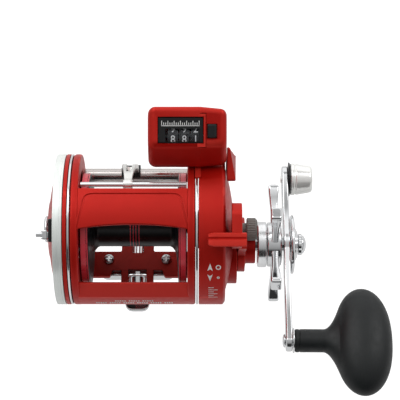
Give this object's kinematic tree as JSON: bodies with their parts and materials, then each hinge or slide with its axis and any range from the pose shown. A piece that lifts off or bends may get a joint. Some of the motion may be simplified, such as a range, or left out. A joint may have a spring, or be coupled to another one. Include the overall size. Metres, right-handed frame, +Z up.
{
  "type": "trolling reel",
  "caption": "Level-wind trolling reel with a domed metal frame, line counter, star drag, clutch lever and an egg-shaped knob on a counterweighted arm.",
  "frame": {"origin": "on the underside of the reel foot, straight below the spool axis", "axes": "+X along the spool axis towards the handle, +Y forward towards the rod tip, +Z up from the rod"},
  "size_m": [0.1624, 0.1198, 0.0983],
  "materials": {
    "red_anodised": "satin",
    "chrome": "mirror polish",
    "aluminium": "brushed",
    "steel": "machined",
    "brass": "machined",
    "black_plastic": "satin",
    "knob_rubber": "matte",
    "clear_window": "clear",
    "grey_plastic": "knurled"
  },
  "bodies": {
    "frame": {"frame_body": "red_anodised", "reel_foot": "chrome", "foot_screw_left": "steel", "foot_screw_right": "steel", "left_trim_ring": "chrome", "left_side_plate": "red_anodised", "left_bearing": "steel", "left_silver_ring": "aluminium", "left_cover": "red_anodised", "cover_screw_front": "steel", "cover_screw_rear": "steel", "left_bearing_cap": "chrome", "clicker_bezel": "black_plastic", "right_trim_ring": "chrome", "gear_plate": "steel", "right_side_plate": "red_anodised", "right_cover": "red_anodised", "right_bearing": "steel", "one_way_clutch": "steel", "levelwind_tube": "chrome", "guide_bar": "chrome", "counter_cover": "red_anodised", "counter_face": "black_plastic", "counter_window": "clear_window", "counter_gear_cover": "red_anodised"},
    "crank": {"main_shaft": "steel", "main_gear": "brass", "drag_disc": "black_plastic", "pressure_plate": "steel", "handle_arm": "chrome", "handle_washer": "chrome", "handle_nut": "chrome", "counterweight": "chrome", "counterweight_washer": "black_plastic", "knob_shaft": "steel", "knob_washer": "chrome"},
    "star": {"star_drag": "chrome", "drag_hub": "aluminium"},
    "knob": {"knob": "knob_rubber"},
    "spool": {"spool": "black_plastic", "spool_shaft": "steel", "click_gear": "steel", "spool_gear": "brass"},
    "idler": {"idler_gear": "brass"},
    "worm": {"worm_shaft": "steel", "worm_gear": "brass"},
    "yoke": {"clutch_yoke": "steel"},
    "pinion": {"pinion_gear": "brass"},
    "guide": {"carriage": "black_plastic", "line_guide": "aluminium", "pawl_cap": "brass"},
    "clutch": {"clutch_lever": "red_anodised"},
    "tension": {"spool_tension_cap": "grey_plastic"},
    "units": {"digit_wheel_units": "black_plastic", "counter_shaft": "steel", "counter_gear": "brass"},
    "tens": {"digit_wheel_tens": "black_plastic"},
    "hundreds": {"digit_wheel_hundreds": "black_plastic"},
    "reset": {"reset_button": "black_plastic"},
    "clicker": {"clicker_button": "aluminium"}
  },
  "joints": [
    {"name": "handle_crank", "type": "hinge", "parent": "frame", "child": "crank", "pos_m": [0.05, 0, 0.026], "axis": [1, 0, 0], "continuous": true},
    {"name": "star_drag_turn", "type": "hinge", "parent": "crank", "child": "star", "pos_m": [0.065, 0, 0.026], "axis": [1, 0, 0], "range_deg": [-150, 150]},
    {"name": "knob_spin", "type": "hinge", "parent": "crank", "child": "knob", "pos_m": [0.08, -0.0495, 0.026], "axis": [1, 0, 0], "continuous": true},
    {"name": "spool_spin", "type": "hinge", "parent": "frame", "child": "spool", "pos_m": [0, 0, 0.042], "axis": [1, 0, 0], "continuous": true},
    {"name": "idler_spin", "type": "hinge", "parent": "frame", "child": "idler", "pos_m": [0.032, 0.01522, 0.0429], "axis": [1, 0, 0], "continuous": true},
    {"name": "worm_spin", "type": "hinge", "parent": "frame", "child": "worm", "pos_m": [0, 0.0299, 0.0398], "axis": [1, 0, 0], "continuous": true},
    {"name": "clutch_turn", "type": "hinge", "parent": "frame", "child": "clutch", "pos_m": [0.0495, 0, 0.026], "axis": [1, 0, 0], "range_deg": [0, 25]},
    {"name": "yoke_slide", "type": "slide", "parent": "frame", "child": "yoke", "axis": [1, 0, 0], "range_m": [0, 0.0021]},
    {"name": "pinion_spin", "type": "hinge", "parent": "yoke", "child": "pinion", "pos_m": [0.037, 0, 0.042], "axis": [1, 0, 0], "continuous": true},
    {"name": "guide_travel", "type": "slide", "parent": "frame", "child": "guide", "axis": [1, 0, 0], "range_m": [-0.016, 0.021]},
    {"name": "tension_cap_turn", "type": "hinge", "parent": "frame", "child": "tension", "pos_m": [0.054, 0, 0.042], "axis": [1, 0, 0], "range_deg": [-170, 170]},
    {"name": "units_wheel", "type": "hinge", "parent": "frame", "child": "units", "pos_m": [0.02825, 0.02532, 0.08491], "axis": [1, 0, 0], "continuous": true},
    {"name": "tens_wheel", "type": "hinge", "parent": "frame", "child": "tens", "pos_m": [0.0232, 0.02532, 0.08491], "axis": [1, 0, 0], "continuous": true},
    {"name": "hundreds_wheel", "type": "hinge", "parent": "frame", "child": "hundreds", "pos_m": [0.0181, 0.02532, 0.08491], "axis": [1, 0, 0], "continuous": true},
    {"name": "reset_press", "type": "slide", "parent": "frame", "child": "reset", "axis": [0, 0.4695, -0.8829], "range_m": [0, 0.0009], "stiffness_N_per_m": 300, "springref_m": -0.0005},
    {"name": "clicker_slide", "type": "slide", "parent": "frame", "child": "clicker", "axis": [0, 0.8829, 0.4695], "range_m": [0, 0.004]}
  ],
  "couplings": [
    {"joint": "spool_spin", "follows": "handle_crank", "ratio": -3.8},
    {"joint": "pinion_spin", "follows": "handle_crank", "ratio": -3.8},
    {"joint": "idler_spin", "follows": "handle_crank", "ratio": 0.93061},
    {"joint": "worm_spin", "follows": "handle_crank", "ratio": -4.1455},
    {"joint": "units_wheel", "follows": "handle_crank", "ratio": 0.38},
    {"joint": "tens_wheel", "follows": "handle_crank", "ratio": 0.038},
    {"joint": "hundreds_wheel", "follows": "handle_crank", "ratio": 0.0038},
    {"joint": "yoke_slide", "follows": "clutch_turn", "m_per_rad": 0.004584}
  ]
}
